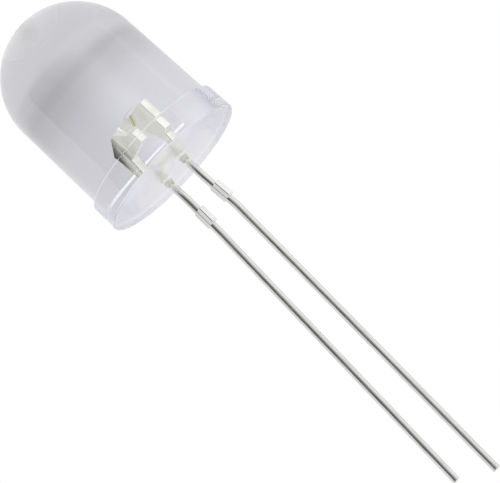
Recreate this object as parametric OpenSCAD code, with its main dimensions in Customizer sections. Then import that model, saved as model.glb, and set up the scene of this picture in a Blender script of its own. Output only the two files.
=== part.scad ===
// Through-hole LED with a clear, round-topped epoxy body, drawn on its optical axis.
// +Z points out of the dome. The origin is the centre of the flat seating face.
// +X runs from the short lead to the long one, and the stamped sheet lies in the XZ plane.

/* [Epoxy body] */
// Radius of the dome
dome_r = 5; // [4:0.1:6]
// Height of the dome's top above the seating face
body_h = 13.8; // [12:0.05:18]
// Draft of the barrel on each side, in degrees
barrel_draft = 1.1; // [0.3:0.1:2]
// How far the flange stands out past the foot of the barrel
flange_step = 0.31; // [0.25:0.005:0.8]
// Thickness of the flange
flange_t = 1.95; // [1:0.05:2.5]
// Draft of the flange's side, in degrees
flange_draft = 1.5; // [0.5:0.1:3]
// Radius on the flange's two outer edges
flange_edge_r = 0.1; // [0.05:0.05:0.4]
// How far the polarity flat lies outside the foot of the barrel
flat_clear = 0.03; // [0.02:0.01:0.15]

/* [Leads] */
// Distance between the centres of the two leads at the seating face
lead_pitch = 2.54; // [2.4:0.02:3]
// Width of a lead, across the sheet
lead_w = 0.48; // [0.4:0.02:0.6]
// Thickness of the sheet that both leads are stamped from
sheet_t = 0.48; // [0.4:0.02:0.6]
// Length of the long lead below the seating face
long_lead_l = 29.4; // [10:0.1:32]
// Length of the short lead below the seating face
short_lead_l = 27.6; // [9:0.1:30]
// Depth below the seating face at which the leads stop running straight
straight_z = 2.1; // [2.05:0.05:3]
// Outward slant of each lead from there to its bend, in degrees
root_splay = 3; // [0:0.1:4]
// Depth of the bend below the seating face
bend_z = 4.9; // [4.6:0.1:6]
// Outward slant of each lead below its bend, in degrees
leg_splay = 0.6; // [0:0.1:2]
// Lean of both leads out of the sheet's plane below the bend, in degrees
leg_lean = 4.2; // [0:0.1:6]

/* [Stopper tabs] */
// Depth of the top of the tabs below the seating face
tab_z = 2.95; // [1:0.05:3.25]
// Height of a tab
tab_h = 1.3; // [0.6:0.05:1.3]
// How far a tab stands out on its +X side
tab_out = 0.22; // [0.1:0.01:0.35]
// How far a tab stands out on its -X side
tab_back = 0.07; // [0.02:0.01:0.2]

/* [Lead heads] */
// Height of the tops of both heads above the seating face
head_z = 3.95; // [3.85:0.05:4.4]
// Width of the slanted gap between the two heads, measured along X
head_gap = 0.45; // [0.4:0.05:0.6]
// How far the slanted gap runs back towards the short lead
gap_run = 0.6; // [0.5:0.02:0.7]
// Height of the lower end of the slanted gap
gap_foot_z = 3.1; // [2.95:0.05:3.2]
// Width of the flat top of the long lead's head, which takes the wire
post_top_w = 0.8; // [0.7:0.05:0.85]
// Height of the lower shoulder of the long lead, where its stem widens
post_stem_z = 1.5; // [1.3:0.05:1.8]
// How far the lower shoulder stands out past the lead
post_stem_out = 0.23; // [0.1:0.01:0.3]
// Height of the upper shoulder of the long lead, where its head begins
post_head_z = 2.45; // [2.2:0.05:2.7]
// How far the upper shoulder stands out past the stem
post_head_out = 0.16; // [0.05:0.01:0.25]
// Height of the blunt point of the long lead's head, under the slanted gap
post_point_h = 0.35; // [0.1:0.05:0.6]
// Height at which the underside of the long lead's head meets its stem
post_foot_z = 1.4; // [1.1:0.05:1.8]
// Height of the corner under the short lead's head, below the gap
cup_foot_z = 2.15; // [2.05:0.05:2.4]
// Height at which the underside of the short lead's head meets its stem
cup_stem_z = 1.95; // [1.6:0.05:2]
// Height at which the outer corner of the short lead's head starts to slope in
cup_corner_z = 3.05; // [2.7:0.05:3.3]
// Distance from the optical axis at which that slope meets the top of the head
cup_back = 1; // [0.85:0.05:1.2]

/* [Reflector cup] */
// Outer radius of the cup at its rim
cup_r = 0.75; // [0.72:0.01:0.8]
// Outer radius of the cup at its underside
cup_under_r = 0.4; // [0.35:0.01:0.45]
// Height of the cup, from its underside to its rim
cup_h = 0.7; // [0.6:0.05:0.75]
// Radius of the reflector at the rim
reflector_r = 0.58; // [0.5:0.01:0.62]
// Radius of the reflector's flat floor
reflector_floor_r = 0.33; // [0.32:0.01:0.36]
// Depth of the reflector
reflector_depth = 0.42; // [0.35:0.01:0.5]

/* [Chip and wire] */
// Side of the square chip
die_w = 0.35; // [0.25:0.01:0.38]
// Height of the chip
die_h = 0.14; // [0.1:0.01:0.16]
// Radius of the conductive adhesive under the chip
attach_r = 0.3; // [0.28:0.01:0.31]
// Thickness of the adhesive
attach_t = 0.03; // [0.02:0.01:0.05]
// Diameter of the bond wire
wire_d = 0.025; // [0.02:0.005:0.05]
// Diameter of the ball at the chip end of the wire
ball_d = 0.09; // [0.07:0.005:0.12]
// Height of the ball
ball_h = 0.03; // [0.02:0.005:0.05]
// Rise of the wire loop above the line between its two ends
loop_rise = 0.4; // [0.3:0.05:0.8]

/* [Hidden] */
$fn = 96;

// Centre of the dome, and the circle where the drafted barrel runs into it without a kink
dome_z = body_h - dome_r;
tangent_z = dome_z + dome_r * sin(barrel_draft);
tangent_r = dome_r * cos(barrel_draft);
foot_r = tangent_r + tangent_z * tan(barrel_draft);
flange_r = foot_r + flange_step;
flat_x = foot_r + flat_clear;

// Edges of the two stems inside the body
stem_in = lead_pitch / 2 - lead_w / 2;
stem_out = lead_pitch / 2 + lead_w / 2;
post_stem_x = stem_out + post_stem_out;
post_head_x = post_stem_x + post_head_out;
post_top_x = post_head_x - post_top_w;

// Floor of the reflector, and the levels that stack on it
floor_z = head_z - reflector_depth;
die_z = floor_z + attach_t;
die_top_z = die_z + die_h;

// The wire's rings: the ball first, then even steps to the stitch on the long lead
wire_sides = 8;
wire_steps = 14;
wire_end_x = post_top_x + post_top_w / 2;
wire_drop = head_z - die_top_z;
ball_t = ball_h / (4 * loop_rise + wire_drop);
rings = concat([[0, ball_d / 2], [ball_t, ball_d / 2], [2 * ball_t, wire_d / 2]],
               [for (i = [1 : wire_steps]) [2 * ball_t + (1 - 2 * ball_t) * i / wire_steps, wire_d / 2]]);

// Centre of a lead at a depth below the seating face, above its bend
function root_x(side, depth) = side * (lead_pitch / 2 + max(0, depth - straight_z) * tan(root_splay));

// A point on the wire's path, which leaves the chip upright and comes down at a slant
function wire_at(t) = [wire_end_x * t * t, 0, die_top_z + wire_drop * t + 4 * loop_rise * t * (1 - t)];
function wire_dir(t) = let (v = [2 * wire_end_x * t, 0, wire_drop + 4 * loop_rise * (1 - 2 * t)]) v / norm(v);

// A point of a ring across the path; the last ring is cut level, flat on the lead's head
function ring_point(ring, i) =
    let (t = ring[0], a = 360 * (i + 0.5) / wire_sides, d = wire_dir(t), across = [d[2], 0, -d[0]])
    let (offset = ring[1] * (cos(a) * across + sin(a) * [0, 1, 0]))
    wire_at(t) + offset - (t < 1 ? [0, 0, 0] : d * offset[2] / d[2]);

// Half of the body's section up to the dome: the barrel's trapezium and the dome above it
module body_section() {
    polygon([[0, 0], [foot_r, 0], [tangent_r, tangent_z], [0, tangent_z]]);
    intersection() {
        translate([0, dome_z]) circle(dome_r);
        translate([0, tangent_z]) square([dome_r, dome_r]);
    }
}

// Half of the flange's section, with a drafted side that runs into both rounded edges
module flange_section() {
    arcs = [for (z = [flange_edge_r, flange_t - flange_edge_r])
            [flange_r - z * tan(flange_draft) - flange_edge_r / cos(flange_draft), z]];
    touch = flange_edge_r * [cos(flange_draft), sin(flange_draft)];
    polygon([[0, 0], [arcs[0][0], 0], arcs[0] + touch, arcs[1] + touch, [arcs[1][0], flange_t],
             [0, flange_t]]);
    for (centre = arcs)
        translate(centre) circle(flange_edge_r);
}

// Everything that is cast into the epoxy, so that the body closes on it face to face
module cast_in() {
    cup_lead();
    post_lead();
    die_attach();
    led_die();
    bond_wire();
}

// One casting: dome, drafted barrel and flange, with a flat on the flange by the long lead
module epoxy_lens() {
    color([0.80, 0.80, 0.84, 0.5]) difference() {
        union() {
            rotate_extrude() body_section();
            intersection() {
                rotate_extrude() flange_section();
                translate([-flange_r, -flange_r, 0]) cube([flange_r + flat_x, 2 * flange_r, flange_t]);
            }
        }
        cast_in();
    }
}

// Turns an outline drawn in X and Z into sheet, centred on the XZ plane
module stamped() {
    rotate([90, 0, 0]) linear_extrude(sheet_t, center = true) children();
}

// The stretch of a lead from the seating face to its bend, with its stopper tab
module root_outline(side) {
    half = lead_w / 2;
    down = [0, straight_z, bend_z];
    polygon([for (z = down) [root_x(side, z) - half, -z],
             for (i = [2 : -1 : 0]) [root_x(side, down[i]) + half, -down[i]]]);
    tab = [tab_z, tab_z + tab_h];
    polygon([for (z = tab) [root_x(side, z) - half - tab_back, -z],
             for (i = [1, 0]) [root_x(side, tab[i]) + half + tab_out, -tab[i]]]);
}

// The stretch of a lead below its bend, a square bar that leans to one side
module leg(side, length) {
    run = length - bend_z;
    top = [root_x(side, bend_z), 0, -bend_z];
    end = top + run * [side * tan(leg_splay), -tan(leg_lean), -1];
    corners = [for (c = [[-1, -1], [1, -1], [1, 1], [-1, 1]]) [c[0] * lead_w, c[1] * sheet_t, 0] / 2];
    polyhedron(points = [for (p = [top, end]) for (c = corners) p + c],
               faces = [[0, 3, 2, 1], [4, 5, 6, 7],
                        for (i = [0 : 3]) [i, (i + 1) % 4, (i + 1) % 4 + 4, i + 4]]);
}

// Head and stem of the short lead, which carries the cup
module cup_head_outline() {
    top_x = post_top_x - head_gap;
    foot_x = top_x - gap_run;
    polygon([[-stem_out, 0], [-stem_in, 0], [-stem_in, cup_stem_z], [foot_x, cup_foot_z],
             [foot_x, gap_foot_z], [top_x, head_z], [-cup_back, head_z], [-stem_out, cup_corner_z]]);
}

// Head and stem of the long lead, whose flat top takes the wire
module post_head_outline() {
    point_x = post_top_x - gap_run;
    polygon([[stem_in, 0], [stem_out, 0], [stem_out, post_stem_z - post_stem_out],
             [post_stem_x, post_stem_z], [post_stem_x, post_head_z - post_head_out],
             [post_head_x, post_head_z], [post_head_x, head_z], [post_top_x, head_z],
             [point_x, gap_foot_z], [point_x, gap_foot_z - post_point_h], [stem_in, post_foot_z]]);
}

// Short lead: one stamping, with the reflector cup coined into the top of its head
module cup_lead() {
    color("silver") difference() {
        union() {
            stamped() {
                cup_head_outline();
                root_outline(-1);
            }
            leg(-1, short_lead_l);
            translate([0, 0, head_z - cup_h]) cylinder(h = cup_h, r1 = cup_under_r, r2 = cup_r);
        }
        translate([0, 0, floor_z])
            cylinder(h = 2 * reflector_depth, r1 = reflector_floor_r,
                     r2 = 2 * reflector_r - reflector_floor_r);
    }
}

// Long lead: one stamping, with a wider head that stops it turning or pulling out
module post_lead() {
    color("silver") {
        stamped() {
            post_head_outline();
            root_outline(1);
        }
        leg(1, long_lead_l);
    }
}

// Square light-emitting chip, standing in the middle of the cup
module led_die() {
    color([0.75, 0.72, 0.5]) translate([0, 0, die_z + die_h / 2]) cube([die_w, die_w, die_h], center = true);
}

// Thin eight-sided bed of conductive adhesive between the chip and the cup's floor
module die_attach() {
    color("lightgray") translate([0, 0, floor_z]) cylinder(h = attach_t, r = attach_r, $fn = 8);
}

// Gold wire: a ball on the chip, a loop over the cup's rim and a stitch on the long lead
module bond_wire() {
    last = len(rings) - 1;
    color("gold") polyhedron(
        points = [for (ring = rings) for (i = [0 : wire_sides - 1]) ring_point(ring, i)],
        faces = [[for (i = [0 : wire_sides - 1]) i],
                 [for (i = [wire_sides - 1 : -1 : 0]) last * wire_sides + i],
                 for (k = [0 : last - 1]) for (i = [0 : wire_sides - 1])
                     let (a = k * wire_sides + i, b = k * wire_sides + (i + 1) % wire_sides)
                     for (f = [[a, a + wire_sides, b], [b, a + wire_sides, b + wire_sides]]) f]);
}

epoxy_lens();
cup_lead();
post_lead();
led_die();
die_attach();
bond_wire();
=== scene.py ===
import math
import bmesh
import bpy
from mathutils import Matrix, Vector


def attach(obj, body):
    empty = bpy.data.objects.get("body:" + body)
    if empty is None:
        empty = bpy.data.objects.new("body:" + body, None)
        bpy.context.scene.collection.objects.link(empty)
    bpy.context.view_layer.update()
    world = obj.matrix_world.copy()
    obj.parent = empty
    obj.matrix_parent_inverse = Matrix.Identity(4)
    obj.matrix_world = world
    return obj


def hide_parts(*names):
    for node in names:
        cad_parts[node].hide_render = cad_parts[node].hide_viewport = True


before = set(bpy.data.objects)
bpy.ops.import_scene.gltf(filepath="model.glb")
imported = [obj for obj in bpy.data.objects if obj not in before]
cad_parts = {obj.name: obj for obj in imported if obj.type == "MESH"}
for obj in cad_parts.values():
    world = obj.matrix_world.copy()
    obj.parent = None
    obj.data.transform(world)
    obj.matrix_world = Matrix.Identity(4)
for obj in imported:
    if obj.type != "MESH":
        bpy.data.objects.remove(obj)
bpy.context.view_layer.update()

# Short lead. One stamping from 0.48 mm steel strip, plated with tin on the leg and with silver on
# the head, which is coined into a round cup. The cup holds the chip and throws its light forward.
MM = 0.001
LEAD_W = 0.48
SHEET_T = 0.48
PITCH = 2.54
STEM_IN = PITCH / 2 - LEAD_W / 2
STEM_OUT = PITCH / 2 + LEAD_W / 2
STRAIGHT_Z = 2.1
ROOT_SPLAY = math.radians(3.0)
BEND_Z = 4.9
LEG_SPLAY = math.radians(0.6)
LEG_LEAN = math.radians(4.2)
LEG_EDGE_R = 0.17
SHORT_L = 27.6
TAB_TOP = 2.95
TAB_H = 1.3
TAB_OUT = 0.22
TAB_BACK = 0.07
TAB_SINK = 0.005
TAB_EDGE_R = 0.04
HEAD_Z = 3.95
HEAD_EDGE_R = 0.05
GAP_RUN = 0.6
GAP_FOOT_Z = 3.1
CUP_TOP_X = 0.65
CUP_FOOT_Z = 2.15
CUP_STEM_Z = 1.95
CUP_CORNER_Z = 3.05
CUP_BACK = 1.0
CUP_R = 0.75
CUP_UNDER_R = 0.4
CUP_H = 0.7
REFLECTOR_R = 0.58
REFLECTOR_DEPTH = 0.42
FLOOR_R = 0.33
FLOOR_Z = HEAD_Z - REFLECTOR_DEPTH


def lead_centre(side, depth):
    """Centre line of a lead at a depth below the seat, down to its bend."""
    return side * (PITCH / 2 + max(0.0, depth - STRAIGHT_Z) * math.tan(ROOT_SPLAY))


def root_edge(side, right):
    """One edge of a lead from the seat to its bend."""
    half = LEAD_W / 2 if right else -LEAD_W / 2
    return [(lead_centre(side, z) + half, -z) for z in (0, STRAIGHT_Z, BEND_Z)]


def as_piece(name, bm):
    """A shown object from a bmesh, with its faces turned outwards."""
    bmesh.ops.recalc_face_normals(bm, faces=bm.faces[:])
    mesh = bpy.data.meshes.new(name)
    bm.to_mesh(mesh)
    bm.free()
    piece = bpy.data.objects.new(name, mesh)
    bpy.context.scene.collection.objects.link(piece)
    return piece


def stamping(name, head, side, length):
    """A lead as one stamping: its outline given the strip's thickness, then the leg drawn out of its end."""
    bm = bmesh.new()
    outline = root_edge(side, True)[::-1] + head + root_edge(side, False)
    ring = [bm.verts.new((x * MM, -SHEET_T / 2 * MM, z * MM)) for x, z in outline]
    thick = bmesh.ops.extrude_face_region(bm, geom=[bm.faces.new(ring)])
    back_side = [v for v in thick["geom"] if isinstance(v, bmesh.types.BMVert)]
    bmesh.ops.translate(bm, verts=back_side, vec=(0, SHEET_T * MM, 0))
    end = min(bm.faces, key=lambda f: f.calc_center_median().z)
    leg = bmesh.ops.extrude_face_region(bm, geom=[end])
    bmesh.ops.delete(bm, geom=[end], context="FACES_ONLY")
    tip = [v for v in leg["geom"] if isinstance(v, bmesh.types.BMVert)]
    way = Vector((side * math.tan(LEG_SPLAY), -math.tan(LEG_LEAN), -1)) * (length - BEND_Z) * MM
    bmesh.ops.translate(bm, verts=tip, vec=way)
    # The edges that run along the lead below the seat
    long_edges = [e for e in bm.edges if max(v.co.z for v in e.verts) < 0.01 * MM
                  and abs(e.verts[0].co.z - e.verts[1].co.z) > MM]
    bmesh.ops.bevel(bm, geom=long_edges, offset=LEG_EDGE_R * MM, offset_type="OFFSET", affect="EDGES",
                    segments=4, profile=0.5, material=-1)
    return as_piece(name, bm)


def stopper(side):
    """The tab that stands out of a lead on both sides and stops it at the board."""
    bm = bmesh.new()
    bmesh.ops.create_cube(bm, size=1.0)
    size = Vector((LEAD_W + TAB_OUT + TAB_BACK, SHEET_T - 2 * TAB_SINK, TAB_H)) * MM
    bmesh.ops.scale(bm, verts=bm.verts[:], vec=size)
    for v in bm.verts:
        depth = TAB_TOP + (TAB_H if v.co.z < 0 else 0)
        v.co.x += (lead_centre(side, depth) + (TAB_OUT - TAB_BACK) / 2) * MM
    bmesh.ops.translate(bm, verts=bm.verts[:], vec=(0, 0, -(TAB_TOP + TAB_H / 2) * MM))
    bmesh.ops.bevel(bm, geom=bm.edges[:], offset=TAB_EDGE_R * MM, offset_type="OFFSET", affect="EDGES",
                    segments=3, profile=0.5, material=-1)
    return as_piece("tab", bm)


def turned(name, profile, steps=64):
    """A closed round body about +Z from its half profile, given from the axis back to the axis."""
    bm = bmesh.new()
    line = [bm.verts.new((r * MM, 0, z * MM)) for r, z in profile]
    edges = [bm.edges.new(pair) for pair in zip(line, line[1:])]
    bmesh.ops.spin(bm, geom=line + edges, cent=(0, 0, 0), axis=(0, 0, 1), angle=math.tau,
                   steps=steps, use_merge=True, use_duplicate=False)
    bmesh.ops.remove_doubles(bm, verts=bm.verts[:], dist=1e-8)
    return as_piece(name, bm)


def finished(piece):
    """Applies the piece's modifiers to its mesh."""
    graph = bpy.context.evaluated_depsgraph_get()
    mesh = bpy.data.meshes.new_from_object(piece.evaluated_get(graph))
    piece.modifiers.clear()
    piece.data = mesh


def cut_or_join(piece, tool, operation):
    """Joins a tool body to the piece, or cuts it away, and deletes the tool."""
    step = piece.modifiers.new(operation.lower(), "BOOLEAN")
    step.object = tool
    step.operation = operation
    step.solver = "EXACT"
    finished(piece)
    bpy.data.objects.remove(tool)


def smooth(piece):
    """Shades every face of a piece smooth."""
    for face in piece.data.polygons:
        face.use_smooth = True


def eased(piece, width, segments=4, angle=30):
    """Rounds every edge that is sharper than the angle."""
    step = piece.modifiers.new("edge", "BEVEL")
    step.width = width * MM
    step.segments = segments
    step.limit_method = "ANGLE"
    step.angle_limit = math.radians(angle)
    step.harden_normals = True
    smooth(piece)
    finished(piece)


def add_node(tree, kind, inputs=(), **settings):
    """Adds a node, makes its settings, and gives inputs a value or another node's output."""
    node = tree.nodes.new(kind)
    for name, value in settings.items():
        setattr(node, name, value)
    for name, value in dict(inputs).items():
        if isinstance(value, bpy.types.NodeSocket):
            tree.links.new(value, node.inputs[name])
        else:
            node.inputs[name].default_value = value
    return node


def part_place(tree):
    """A point's place on the part, from its Object coordinates."""
    return add_node(tree, "ShaderNodeTexCoord").outputs["Object"]


def maths(tree, operation, first, second, clamp=False):
    """Two values put together by an operation."""
    node = add_node(tree, "ShaderNodeMath", {0: first, 1: second}, operation=operation, use_clamp=clamp)
    return node.outputs[0]


def blend(tree, amount, first, second, mode="MIX"):
    """Two colours mixed by an amount."""
    node = add_node(tree, "ShaderNodeMix", {0: amount, 6: first, 7: second}, data_type="RGBA",
                    blend_type=mode)
    return node.outputs[2]


def spread(tree, value, low, high, start=0.0, end=1.0):
    """A value eased from start to end while it runs from low to high."""
    node = add_node(tree, "ShaderNodeMapRange", {"Value": value, "From Min": low, "From Max": high,
                                                 "To Min": start, "To Max": end},
                    interpolation_type="SMOOTHSTEP")
    return node.outputs["Result"]


def group_of(name, inputs, outputs):
    """An empty node group with named number inputs and outputs."""
    group = bpy.data.node_groups.new(name, "ShaderNodeTree")
    for label, value in inputs:
        socket = group.interface.new_socket(label, in_out="INPUT", socket_type="NodeSocketFloat")
        socket.default_value = value
    for label in outputs:
        group.interface.new_socket(label, in_out="OUTPUT", socket_type="NodeSocketFloat")
    return group, add_node(group, "NodeGroupInput"), add_node(group, "NodeGroupOutput")


# Mottle: cloudy tone from the part's own coordinates, drawn out along the optical axis by Stretch
mottle, given, result = group_of("mottle", [("Scale", 1000.0), ("Stretch", 1.0), ("Detail", 4.0),
                                            ("Low", 0.35), ("High", 0.65)], ["Value"])
long_way = maths(mottle, "MULTIPLY", given.outputs["Scale"], given.outputs["Stretch"])
steps = add_node(mottle, "ShaderNodeCombineXYZ", {"X": given.outputs["Scale"], "Y": given.outputs["Scale"],
                                                  "Z": long_way}).outputs[0]
place = add_node(mottle, "ShaderNodeVectorMath", {0: part_place(mottle), 1: steps},
                 operation="MULTIPLY").outputs[0]
cloud = add_node(mottle, "ShaderNodeTexNoise", {"Vector": place, "Scale": 1.0,
                                                "Detail": given.outputs["Detail"]})
level = add_node(mottle, "ShaderNodeMapRange", {"Value": cloud.outputs[0], "From Min": given.outputs["Low"],
                                                "From Max": given.outputs["High"]})
mottle.links.new(level.outputs["Result"], result.inputs["Value"])


def mottled(tree, **values):
    """The mottle group placed in a material."""
    node = add_node(tree, "ShaderNodeGroup", node_tree=mottle)
    for label, value in values.items():
        node.inputs[label].default_value = value
    return node.outputs["Value"]


def new_finish(name):
    """A new material, with its node tree and its shader."""
    finish = bpy.data.materials.new(name)
    finish.use_nodes = True
    tree = finish.node_tree
    return finish, tree, tree.nodes["Principled BSDF"]


def raise_by(tree, shader, height, strength, distance):
    """Lets a height stand out of the surface by a distance in millimetres."""
    bump = add_node(tree, "ShaderNodeBump", {"Height": height, "Strength": strength,
                                             "Distance": distance * MM})
    tree.links.new(bump.outputs[0], shader.inputs["Normal"])


def dress(piece, finish):
    """Gives a piece its one material."""
    piece.data.materials.clear()
    piece.data.materials.append(finish)


cup_foot_x = CUP_TOP_X - GAP_RUN
cup_head = [(-STEM_IN, CUP_STEM_Z), (cup_foot_x, CUP_FOOT_Z), (cup_foot_x, GAP_FOOT_Z), (CUP_TOP_X, HEAD_Z),
            (-CUP_BACK, HEAD_Z), (-STEM_OUT, CUP_CORNER_Z)]
cup_lead = stamping("short_lead", cup_head, -1, SHORT_L)
cut_or_join(cup_lead, turned("cup", [(0, HEAD_Z - CUP_H), (CUP_UNDER_R, HEAD_Z - CUP_H), (CUP_R, HEAD_Z),
                                     (0, HEAD_Z)]), "UNION")
# The bore's cone runs on past the rim, by as much as it is deep
cut_or_join(cup_lead, turned("bore", [(0, FLOOR_Z), (FLOOR_R, FLOOR_Z),
                                      (2 * REFLECTOR_R - FLOOR_R, HEAD_Z + REFLECTOR_DEPTH),
                                      (0, HEAD_Z + REFLECTOR_DEPTH)]), "DIFFERENCE")
eased(cup_lead, HEAD_EDGE_R)
cut_or_join(cup_lead, stopper(-1), "UNION")

# Plating of both leads: bright silver on the heads, tin on the legs, drawn along their length
TIN = (0.80, 0.80, 0.79, 1)
SILVER = (0.985, 0.985, 0.87, 1)
DULL_PATCH = (0.62, 0.62, 0.58, 1)
DRAW_MARK = (0.55, 0.55, 0.52, 1)
TIN_BELOW_Z = -1.0
SILVER_ABOVE_Z = -0.5
COINED = 0.5
plating, tree, shader = new_finish("plated_sheet")
height = add_node(tree, "ShaderNodeSeparateXYZ", {0: part_place(tree)}).outputs["Z"]
in_body = spread(tree, height, TIN_BELOW_Z * MM, SILVER_ABOVE_Z * MM)
streaks = mottled(tree, Scale=16000.0, Stretch=0.03, Detail=5.0)
patches = mottled(tree, Scale=1500.0, Stretch=0.4, Detail=3.0)
tone = blend(tree, in_body, TIN, SILVER)
tone = blend(tree, spread(tree, patches, 0.2, 1.0, 0.0, 0.25), tone, DULL_PATCH)
tone = blend(tree, spread(tree, streaks, 0.0, 1.0, 0.0, 0.12), tone, DRAW_MARK)
tree.links.new(tone, shader.inputs["Base Color"])
shader.inputs["Metallic"].default_value = 1.0
drawn_gloss = maths(tree, "ADD", spread(tree, streaks, 0.0, 1.0, 0.10, 0.20),
                    spread(tree, patches, 0.0, 1.0, 0.0, 0.08))
gloss = maths(tree, "MULTIPLY", drawn_gloss, spread(tree, in_body, 0.0, 1.0, 1.0, COINED))
tree.links.new(gloss, shader.inputs["Roughness"])
raise_by(tree, shader, streaks, 0.08, 0.004)
dress(cup_lead, plating)
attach(cup_lead, "root")
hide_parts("cup_lead")

# Chip adhesive. A dot of silver-filled epoxy, pressed out into a low bead round the chip's foot and
# cured on the floor of the cup. It carries the current too.
ATTACH_R = 0.3
ATTACH_T = 0.03
BEAD_FOOT = 0.01
BEAD_SHOULDER = 0.03
BEAD_H = 0.038
CHIP_W = 0.35
bead_top_r = CHIP_W * 0.66
bead = [(0, FLOOR_Z), (ATTACH_R - BEAD_FOOT, FLOOR_Z), (ATTACH_R, FLOOR_Z + BEAD_FOOT),
        (ATTACH_R - BEAD_SHOULDER, FLOOR_Z + BEAD_SHOULDER), (bead_top_r, FLOOR_Z + BEAD_H),
        (CHIP_W / 2, FLOOR_Z + ATTACH_T), (0, FLOOR_Z + ATTACH_T)]
adhesive = turned("chip_adhesive", bead, 40)
smooth(adhesive)
DARK_PASTE = (0.42, 0.42, 0.42, 1)
SILVER_FLAKE = (0.74, 0.74, 0.73, 1)
silvered, tree, shader = new_finish("silver_adhesive")
flakes = mottled(tree, Scale=60000.0, Detail=3.0)
tree.links.new(blend(tree, flakes, DARK_PASTE, SILVER_FLAKE), shader.inputs["Base Color"])
tree.links.new(spread(tree, flakes, 0.0, 1.0, 0.65, 0.35), shader.inputs["Roughness"])
tree.links.new(spread(tree, flakes, 0.5, 1.0, 0.2, 0.9), shader.inputs["Metallic"])
raise_by(tree, shader, flakes, 0.4, 0.004)
dress(adhesive, silvered)
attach(adhesive, "root")
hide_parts("die_attach")

# Chip. A sawn square of semiconductor with a small bevel round its top and a round gold pad in the
# middle, to which the wire is bonded. It is glued down by its whole underside.
CHIP_H = 0.14
CHIP_Z = FLOOR_Z + ATTACH_T
SAW_BEVEL = 0.02
CHIP_EDGE_R = 0.004
PAD_R = 0.064
PAD_T = 0.01
PAD_EDGE = 0.002
chip_top = CHIP_Z + CHIP_H
bm = bmesh.new()
bmesh.ops.create_cube(bm, size=1.0)
bmesh.ops.scale(bm, verts=bm.verts[:], vec=(CHIP_W * MM, CHIP_W * MM, CHIP_H * MM))
bmesh.ops.translate(bm, verts=bm.verts[:], vec=(0, 0, (CHIP_Z + CHIP_H / 2) * MM))
top = max(bm.faces, key=lambda f: f.calc_center_median().z)
bmesh.ops.inset_region(bm, faces=[top], thickness=SAW_BEVEL * MM, depth=0)
lip = [v for v in bm.verts if v.co.z > (chip_top - SAW_BEVEL / 2) * MM
       and max(abs(v.co.x), abs(v.co.y)) > (CHIP_W / 2 - SAW_BEVEL / 2) * MM]
bmesh.ops.translate(bm, verts=lip, vec=(0, 0, -SAW_BEVEL * MM))
chip = as_piece("chip", bm)
eased(chip, CHIP_EDGE_R, 2)
DARK_CRYSTAL = (0.46, 0.43, 0.27, 1)
PALE_CRYSTAL = (0.60, 0.57, 0.40, 1)
PAD_GOLD = (0.95, 0.72, 0.32, 1)
crystal, tree, shader = new_finish("chip")
place = part_place(tree)
off_axis = add_node(tree, "ShaderNodeVectorMath", {0: place, 1: (1, 1, 0)}, operation="MULTIPLY").outputs[0]
radius = add_node(tree, "ShaderNodeVectorMath", {0: off_axis}, operation="LENGTH").outputs["Value"]
height = add_node(tree, "ShaderNodeSeparateXYZ", {0: place}).outputs["Z"]
pad_foot = chip_top - PAD_T
on_top = spread(tree, height, (pad_foot - PAD_EDGE) * MM, (pad_foot + PAD_EDGE) * MM)
in_ring = spread(tree, radius, (PAD_R - PAD_EDGE) * MM, (PAD_R + PAD_EDGE) * MM, 1.0, 0.0)
pad = maths(tree, "MULTIPLY", in_ring, on_top)
saw_marks = mottled(tree, Scale=30000.0, Stretch=0.1, Detail=4.0)
sawn = blend(tree, saw_marks, DARK_CRYSTAL, PALE_CRYSTAL)
tree.links.new(blend(tree, pad, sawn, PAD_GOLD), shader.inputs["Base Color"])
tree.links.new(pad, shader.inputs["Metallic"])
tree.links.new(spread(tree, saw_marks, 0.0, 1.0, 0.22, 0.42), shader.inputs["Roughness"])
raise_by(tree, shader, saw_marks, 0.2, 0.003)
dress(chip, crystal)
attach(chip, "root")
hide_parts("led_die")

# Long lead. The other half of the same stamping, with a flat-topped head for the wire's stitch
# and two shoulders that key it into the epoxy. Same strip, same plating.
LONG_L = 29.4
POST_TOP_W = 0.8
POST_STEM_Z = 1.5
POST_STEM_OUT = 0.23
POST_HEAD_Z = 2.45
POST_HEAD_OUT = 0.16
POST_POINT_H = 0.35
POST_FOOT_Z = 1.4
post_stem_x = STEM_OUT + POST_STEM_OUT
post_head_x = post_stem_x + POST_HEAD_OUT
post_top_x = post_head_x - POST_TOP_W
point_x = post_top_x - GAP_RUN
post_head = [(STEM_OUT, POST_STEM_Z - POST_STEM_OUT), (post_stem_x, POST_STEM_Z),
             (post_stem_x, POST_HEAD_Z - POST_HEAD_OUT), (post_head_x, POST_HEAD_Z), (post_head_x, HEAD_Z),
             (post_top_x, HEAD_Z), (point_x, GAP_FOOT_Z), (point_x, GAP_FOOT_Z - POST_POINT_H),
             (STEM_IN, POST_FOOT_Z)]
post_lead = stamping("long_lead", post_head, 1, LONG_L)
eased(post_lead, HEAD_EDGE_R)
cut_or_join(post_lead, stopper(1), "UNION")
dress(post_lead, plating)
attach(post_lead, "root")
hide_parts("post_lead")

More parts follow.
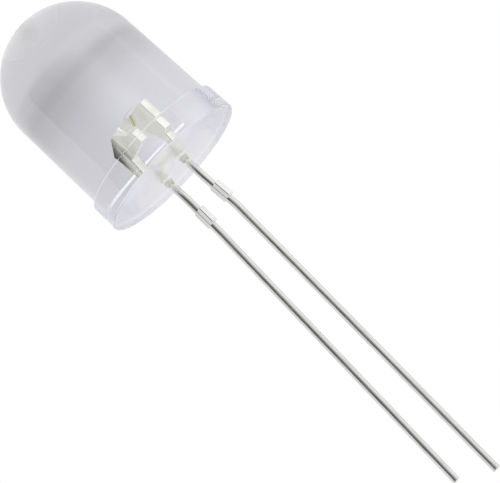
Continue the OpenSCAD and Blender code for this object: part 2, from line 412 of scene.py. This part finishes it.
# Bond wire. Gold wire 25 microns thick: a ball pressed on the chip's pad, a loop over the rim of
# the cup, and a flattened stitch on the long lead's head.
WIRE_D = 0.025
BALL_D = 0.09
BALL_H = 0.03
STITCH_R = 0.04
STITCH_SHAPE = (1.1, 0.7, 0.22)
STITCH_BACK = 0.03
STITCH_RISE = 0.006
LOOP_RISE = 0.4
WIRE_STEPS = 40
LEAVES_BALL = 0.03
LEVEL_FROM = 0.9
IN_STITCH = 0.99
wire_end_x = post_top_x + POST_TOP_W / 2
drop = HEAD_Z - chip_top
path = bpy.data.curves.new("bond_wire", "CURVE")
path.dimensions = "3D"
path.bevel_depth = WIRE_D / 2 * MM
path.bevel_resolution = 3
path.use_fill_caps = True
line = path.splines.new("POLY")
line.points.add(WIRE_STEPS)
for i, point in enumerate(line.points):
    t = LEAVES_BALL + (IN_STITCH - LEAVES_BALL) * i / WIRE_STEPS
    z = chip_top + drop * t + 4 * LOOP_RISE * t * (1 - t)
    point.co = (wire_end_x * t * t * MM, 0, max(z, HEAD_Z if t > LEVEL_FROM else 0) * MM, 1)
holder = bpy.data.objects.new("route", path)
bpy.context.scene.collection.objects.link(holder)
graph = bpy.context.evaluated_depsgraph_get()
bm = bmesh.new()
bm.from_mesh(bpy.data.meshes.new_from_object(holder.evaluated_get(graph)))
bpy.data.objects.remove(holder)
bmesh.ops.remove_doubles(bm, verts=bm.verts[:], dist=1e-8)
ball = bmesh.ops.create_uvsphere(bm, u_segments=24, v_segments=12, radius=BALL_D / 2 * MM)["verts"]
bmesh.ops.scale(bm, verts=ball, vec=(1, 1, BALL_H / BALL_D))
bmesh.ops.translate(bm, verts=ball, vec=(0, 0, (chip_top + BALL_H / 2) * MM))
stitch = bmesh.ops.create_uvsphere(bm, u_segments=16, v_segments=8, radius=STITCH_R * MM)["verts"]
bmesh.ops.scale(bm, verts=stitch, vec=STITCH_SHAPE)
stitch_spot = Vector((wire_end_x - STITCH_BACK, 0, HEAD_Z + STITCH_RISE)) * MM
bmesh.ops.translate(bm, verts=stitch, vec=stitch_spot)
bond_wire = as_piece("bond_wire", bm)
smooth(bond_wire)
DEEP_GOLD = (0.90, 0.66, 0.28, 1)
BRIGHT_GOLD = (0.97, 0.78, 0.42, 1)
gold, tree, shader = new_finish("gold_wire")
drawn = mottled(tree, Scale=40000.0, Detail=2.0)
tree.links.new(blend(tree, drawn, DEEP_GOLD, BRIGHT_GOLD), shader.inputs["Base Color"])
tree.links.new(spread(tree, drawn, 0.0, 1.0, 0.14, 0.26), shader.inputs["Roughness"])
shader.inputs["Metallic"].default_value = 1.0
raise_by(tree, shader, drawn, 0.1, 0.001)
dress(bond_wire, gold)
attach(bond_wire, "root")
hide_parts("bond_wire")

# Epoxy body. One casting of clear epoxy round both heads: dome, drafted barrel and flange, with
# the polarity flat on the long lead's side. It was cast dome down, so its base is a free surface
# that creeps along the leads and thins out on them.
DOME_R = 5.0
BODY_H = 13.8
DRAFT = math.radians(1.1)
FLANGE_STEP = 0.31
FLANGE_T = 1.95
FLANGE_DRAFT = math.radians(1.5)
FLANGE_EDGE_R = 0.1
FOOT_FILLET = 0.08
FLAT_CLEAR = 0.03
FLAT_EDGE_R = 0.04
CORNER_STEPS = 8
DOME_STEPS = 48
AROUND = 240
BASE_RING_IN = 0.05
BARREL_RINGS = (2.2, 2.6, 3.2, 4.5, 6.0, 7.5)
dome_z = BODY_H - DOME_R
tangent_z = dome_z + DOME_R * math.sin(DRAFT)
foot_r = DOME_R * math.cos(DRAFT) + tangent_z * math.tan(DRAFT)
flange_r = foot_r + FLANGE_STEP
flat_x = foot_r + FLAT_CLEAR


def corner(cr, cz, radius, start, end):
    """Points of a rounded corner about (cr, cz), from one angle to another."""
    turn = [math.radians(start + (end - start) * i / CORNER_STEPS) for i in range(CORNER_STEPS + 1)]
    return [(cr + radius * math.cos(a), cz + radius * math.sin(a)) for a in turn]


def barrel_r(z):
    """Radius of the drafted barrel at a height above the seat."""
    return foot_r - z * math.tan(DRAFT)


def edge_r(z):
    """Distance of the flange's edge arcs from the axis."""
    return flange_r - z * math.tan(FLANGE_DRAFT) - FLANGE_EDGE_R / math.cos(FLANGE_DRAFT)


low, high = FLANGE_EDGE_R, FLANGE_T - FLANGE_EDGE_R
lean = math.degrees(FLANGE_DRAFT)
fillet_z = FLANGE_T + FOOT_FILLET
profile = [(0, 0), (edge_r(low) - BASE_RING_IN, 0)]
profile += corner(edge_r(low), low, FLANGE_EDGE_R, -90, lean)
profile += corner(edge_r(high), high, FLANGE_EDGE_R, lean, 90)
profile += corner(barrel_r(fillet_z) + FOOT_FILLET, fillet_z, FOOT_FILLET, 270, 180)
profile += [(barrel_r(z), z) for z in BARREL_RINGS]
for i in range(DOME_STEPS):
    a = DRAFT + (math.pi / 2 - DRAFT) * i / DOME_STEPS
    profile.append((DOME_R * math.cos(a), dome_z + DOME_R * math.sin(a)))
profile.append((0, BODY_H))
lens = turned("epoxy_body", profile, AROUND)
bm = bmesh.new()
bm.from_mesh(lens.data)
cut = bmesh.ops.bisect_plane(bm, geom=bm.verts[:] + bm.edges[:] + bm.faces[:],
                             plane_co=(flat_x * MM, 0, 0), plane_no=(1, 0, 0), clear_outer=True)
rim = [g for g in cut["geom_cut"] if isinstance(g, bmesh.types.BMEdge)]
filled = bmesh.ops.edgeloop_fill(bm, edges=rim)["faces"]
bmesh.ops.bevel(bm, geom=[e for f in filled for e in f.edges], offset=FLAT_EDGE_R * MM,
                offset_type="OFFSET", affect="EDGES", segments=3, profile=0.5, material=-1,
                clamp_overlap=True)
bmesh.ops.recalc_face_normals(bm, faces=bm.faces[:])
bm.to_mesh(lens.data)
bm.free()
smooth(lens)
lens.data.set_sharp_from_angle(angle=math.radians(40))
CREEP_R = 0.54
ON_SEAT = 0.0001
ON_SEAM = 0.002
creep = [(0, -0.6), (0.2, -0.6), (0.245, -0.58), (0.265, -0.5), (0.28, -0.4), (0.3, -0.3), (0.325, -0.2),
         (0.36, -0.11), (0.41, -0.045), (0.47, -0.01), (CREEP_R, 0.0), (CREEP_R - 0.02, 0.03), (0, 0.03)]
for side in (-1, 1):
    root = Vector((side * PITCH / 2 * MM, 0, 0))
    collar = turned("collar", creep, 40)
    collar.data.transform(Matrix.Translation(root))
    smooth(collar)
    cut_or_join(lens, collar, "UNION")
    for edge in lens.data.edges:
        ends = [lens.data.vertices[i].co - root for i in edge.vertices]
        if all(abs(c.z) < ON_SEAT * MM and abs(c.length - CREEP_R * MM) < ON_SEAM * MM for c in ends):
            edge.use_edge_sharp = True

# Tint of the epoxy: nearly clear at the base, lavender in the barrel, with painted shade darkening it from
# the upper barrel over the dome. The base and the flat are satin. Light that has turned about eight times
# inside is let out, because total reflection would never let it go, and the corner under the flat would show
# black.
SKIN = (0.01, 0.03)
BARREL_FADE = (1.5, 6.0)
DOME_SHADE_FADE = (5.4, 8.3)
RIPPLE_FADE = (1.9, 2.5)
BASE_TINT = (0.965, 0.96, 1, 1)
FLANGE_TINT = (0.875, 0.875, 0.925, 1)
BARREL_TINT = (0.81, 0.81, 0.855, 1)
# Painted shade: a darkening multiplied into the epoxy's colour from the upper barrel up over the dome
DOME_PAINTED_SHADE = (0.77, 0.77, 0.755, 1)
HAZE = (0.5, 0.5, 0.52, 1)
CLEAR = (1, 1, 1, 1)
DEEP_TINT = (0.70, 0.70, 0.85, 1)
SATIN = 0.28
LET_OUT = 0.27
HELD_TURNS = (7.0, 9.0)
epoxy, tree, shader = new_finish("clear_epoxy")
ripple = mottled(tree, Scale=320.0, Detail=2.0, Low=0.2, High=0.8)
haze = mottled(tree, Scale=4000.0, Detail=4.0)
place = add_node(tree, "ShaderNodeSeparateXYZ", {0: part_place(tree)})
height = place.outputs["Z"]
tint_and_shade = blend(tree, spread(tree, height, BARREL_FADE[0] * MM, BARREL_FADE[1] * MM), FLANGE_TINT, BARREL_TINT)
# Painted shade: the base colour is darkened from the upper barrel up over the dome
tint_and_shade = blend(tree, spread(tree, height, DOME_SHADE_FADE[0] * MM, DOME_SHADE_FADE[1] * MM), tint_and_shade, DOME_PAINTED_SHADE, "MULTIPLY")
tint_and_shade = blend(tree, spread(tree, height, SKIN[0] * MM, SKIN[1] * MM), BASE_TINT, tint_and_shade)
tint_and_shade = blend(tree, spread(tree, haze, 0.0, 1.0, 0.0, 0.03), tint_and_shade, HAZE)
held = spread(tree, add_node(tree, "ShaderNodeLightPath").outputs["Ray Depth"], *HELD_TURNS)
tint_and_shade = blend(tree, held, tint_and_shade, CLEAR)
tree.links.new(tint_and_shade, shader.inputs["Base Color"])
on_base = spread(tree, height, SKIN[1] * MM, SKIN[0] * MM)
on_flat = spread(tree, place.outputs["X"], (flat_x - SKIN[1]) * MM, (flat_x - SKIN[0]) * MM)
satin = spread(tree, maths(tree, "MAXIMUM", on_base, on_flat), 0.0, 1.0, 0.0, SATIN)
gloss = maths(tree, "ADD", satin, spread(tree, haze, 0.0, 1.0, 0.0, 0.02))
gloss = maths(tree, "MAXIMUM", gloss, spread(tree, held, 0.0, 1.0, 0.0, LET_OUT))
tree.links.new(gloss, shader.inputs["Roughness"])
above_flange = spread(tree, height, RIPPLE_FADE[0] * MM, RIPPLE_FADE[1] * MM, 0.0, 0.15)
raise_by(tree, shader, ripple, above_flange, 0.03)
shader.inputs["IOR"].default_value = 1.53
shader.inputs["Transmission Weight"].default_value = 1.0
depth = add_node(tree, "ShaderNodeVolumeAbsorption", {"Color": DEEP_TINT, "Density": 10.0})
tree.links.new(depth.outputs[0], tree.nodes["Material Output"].inputs["Volume"])
dress(lens, epoxy)
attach(lens, "root")
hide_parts("epoxy_lens")

# Camera. It looks from 12 degrees below the seating face, from half a metre away, and is turned so
# that the dome lies at the upper left. SEAT_PX is where the middle of the seat falls in the picture.
DISTANCE = 500.0
PICTURE_W = 500
PICTURE_H = 483
SENSOR_W = 36
PIXELS_PER_MM = 15.45
BELOW = math.radians(12.0)
ROUND = math.radians(46.0)
ROLL = math.radians(42.89)
SEAT_PX = (173.6, 167.8)
INSIDE_TURNS = 96
back = Vector((math.cos(BELOW) * math.cos(ROUND), -math.cos(BELOW) * math.sin(ROUND), -math.sin(BELOW)))
across = Vector((math.sin(ROUND), math.cos(ROUND), 0))
down = across.cross(back)
right = math.cos(ROLL) * down + math.sin(ROLL) * across
up = math.cos(ROLL) * across - math.sin(ROLL) * down
spot = (back * DISTANCE - right * (SEAT_PX[0] - PICTURE_W / 2) / PIXELS_PER_MM
        + up * (SEAT_PX[1] - PICTURE_H / 2) / PIXELS_PER_MM)
camera = bpy.data.objects.new("camera", bpy.data.cameras.new("camera"))
camera.matrix_world = Matrix((right, up, back)).transposed().to_4x4()
camera.location = spot * MM
camera.data.lens = PIXELS_PER_MM * DISTANCE / PICTURE_W * SENSOR_W
camera.data.sensor_width = SENSOR_W
bpy.context.scene.collection.objects.link(camera)
bpy.context.scene.camera = camera
bpy.context.scene.view_settings.view_transform = "Standard"
bpy.context.scene.cycles.max_bounces = INSIDE_TURNS
bpy.context.scene.cycles.transmission_bounces = INSIDE_TURNS
bpy.context.scene.cycles.glossy_bounces = 24

# Floor. A plain pale disc under the lead tips, which fades out into the white surround. Only its
# upper side shows, so the camera, which looks up from below, sees past it.
FLOOR_DISC_R = 300
FADES_FROM = 50
FADES_TO = 260
FLOOR_GAP = 0.05
PAPER = (0.92, 0.92, 0.92, 1)
bm = bmesh.new()
bmesh.ops.create_circle(bm, cap_ends=True, segments=96, radius=FLOOR_DISC_R * MM)
bmesh.ops.translate(bm, verts=bm.verts[:], vec=(0, 0, -(LONG_L + FLOOR_GAP) * MM))
mesh = bpy.data.meshes.new("floor")
bm.to_mesh(mesh)
bm.free()
floor = bpy.data.objects.new("floor", mesh)
bpy.context.scene.collection.objects.link(floor)
floor.visible_transmission = False
floor.visible_glossy = False
paper, tree, shader = new_finish("paper")
shader.inputs["Base Color"].default_value = PAPER
shader.inputs["Roughness"].default_value = 0.9
reach = add_node(tree, "ShaderNodeVectorMath", {0: part_place(tree)}, operation="LENGTH").outputs["Value"]
underside = add_node(tree, "ShaderNodeNewGeometry").outputs["Backfacing"]
near = spread(tree, reach, FADES_FROM * MM, FADES_TO * MM, 1.0, 0.0)
shown = maths(tree, "SUBTRACT", near, underside, clamp=True)
nothing = add_node(tree, "ShaderNodeBsdfTransparent").outputs[0]
faded = add_node(tree, "ShaderNodeMixShader", {0: shown, 1: nothing, 2: shader.outputs[0]})
tree.links.new(faded.outputs[0], tree.nodes["Material Output"].inputs["Surface"])
dress(floor, paper)

# Studio. The camera sees plain white. Metal and epoxy see a pale surround with dim stretches on both
# sides, a bright one below in front, a dark flag on the left and a soft box on the right. A dark end
# on the camera's side shows only in reflections. A large soft lamp lights the floor.
world = bpy.data.worlds.new("studio")
bpy.context.scene.world = world
world.use_nodes = True
tree = world.node_tree
tree.nodes.clear()
where = add_node(tree, "ShaderNodeTexCoord").outputs["Generated"]
to_right = add_node(tree, "ShaderNodeVectorMath", {0: where, 1: across},
                    operation="DOT_PRODUCT").outputs["Value"]
to_camera = add_node(tree, "ShaderNodeVectorMath", {0: where, 1: back},
                     operation="DOT_PRODUCT").outputs["Value"]
upward = add_node(tree, "ShaderNodeSeparateXYZ", {0: where}).outputs["Z"]
heights = add_node(tree, "ShaderNodeMapRange", {"Value": upward, "From Min": -1.0}).outputs[0]
ramp = add_node(tree, "ShaderNodeValToRGB", {0: heights})
ramp.color_ramp.interpolation = "EASE"
levels = [(0.0, 0.98), (0.4, 0.96), (0.475, 0.97), (0.525, 0.96), (0.55, 0.90), (0.575, 0.85), (0.595, 0.86),
          (0.615, 0.94), (0.63, 0.96), (0.75, 0.98), (1.0, 1.03)]
for i, (position, shade) in enumerate(levels):
    stop = ramp.color_ramp.elements[i] if i < 2 else ramp.color_ramp.elements.new(position)
    stop.position = position
    stop.color = (shade, shade, shade, 1)


def zone(value, rise, fall=None):
    """1 between two soft edges of a value, 0 outside them."""
    inside = spread(tree, value, *rise)
    if fall is None:
        return inside
    return maths(tree, "SUBTRACT", inside, spread(tree, value, *fall), clamp=True)


def both(first, second):
    """The overlap of two zones."""
    return maths(tree, "MULTIPLY", first, second)


path = add_node(tree, "ShaderNodeLightPath")
reflected = spread(tree, path.outputs["Is Transmission Ray"], 0.0, 1.0, 1.0, 0.0)
low_band = zone(upward, (-0.5, -0.25), (0.3, 0.55))
dim_right = both(zone(to_right, (-0.2, 0.25), (0.8, 1.05)), zone(upward, (-0.15, 0.0), (0.3, 0.5)))
dim_left = both(zone(to_right, (-0.1, -0.35)), zone(upward, (0.05, 0.15), (0.3, 0.5)))
bright_below = both(zone(upward, (-0.35, -0.5)), zone(to_camera, (0.1, 0.3)))
dark_end = both(both(zone(to_camera, (0.2, 0.35)), zone(to_right, (0.6, 0.2))), reflected)
left_flag = both(zone(to_right, (-0.7, -0.8)), zone(to_camera, (0.13, 0.17)))
soft_box = both(zone(to_right, (0.85, 0.92)), zone(to_camera, (-0.24, -0.16), (-0.045, -0.03)))
panels = [(dim_right, 0.83, "MULTIPLY"), (dim_left, 0.93, "MULTIPLY"), (bright_below, 1.3, "MIX"),
          (both(low_band, dark_end), 0.14, "MIX"), (both(low_band, left_flag), 0.08, "MIX"),
          (both(low_band, soft_box), 1.22, "MIX")]
room = ramp.outputs[0]
for mask, shade, mode in panels:
    room = blend(tree, mask, room, (shade, shade, shade, 1), mode)

# Light that was let out of the epoxy meets a plain tone instead, brighter the longer it was held
SOON = (0.86, 0.86, 0.90, 1)
LATE = (2.6, 2.6, 2.35, 1)
LATE_TURNS = 32.0
turns = path.outputs["Ray Depth"]
let_out = blend(tree, spread(tree, turns, HELD_TURNS[1], LATE_TURNS), SOON, LATE)
room = blend(tree, spread(tree, turns, *HELD_TURNS), room, let_out)
seen = add_node(tree, "ShaderNodeBackground", {"Color": room})
white = add_node(tree, "ShaderNodeBackground", {"Color": CLEAR})
mix = add_node(tree, "ShaderNodeMixShader", {0: path.outputs["Is Camera Ray"], 1: seen.outputs[0],
                                             2: white.outputs[0]})
tree.links.new(mix.outputs[0], add_node(tree, "ShaderNodeOutputWorld").inputs["Surface"])

LAMP_D = 300
LAMP_WATTS = 0.6
lamp_spot = Vector((120, 100, 350)) * MM
lamp_aim = Vector((0, 0, -30)) * MM
lamp = bpy.data.lights.new("soft_lamp", "AREA")
lamp.shape = "DISK"
lamp.size = LAMP_D * MM
lamp.energy = LAMP_WATTS
lamp_holder = bpy.data.objects.new("soft_lamp", lamp)
lamp_holder.location = lamp_spot
lamp_holder.rotation_mode = "QUATERNION"
lamp_holder.rotation_quaternion = (lamp_spot - lamp_aim).to_track_quat("Z", "Y")
lamp_holder.visible_glossy = False
lamp_holder.visible_transmission = False
bpy.context.scene.collection.objects.link(lamp_holder)
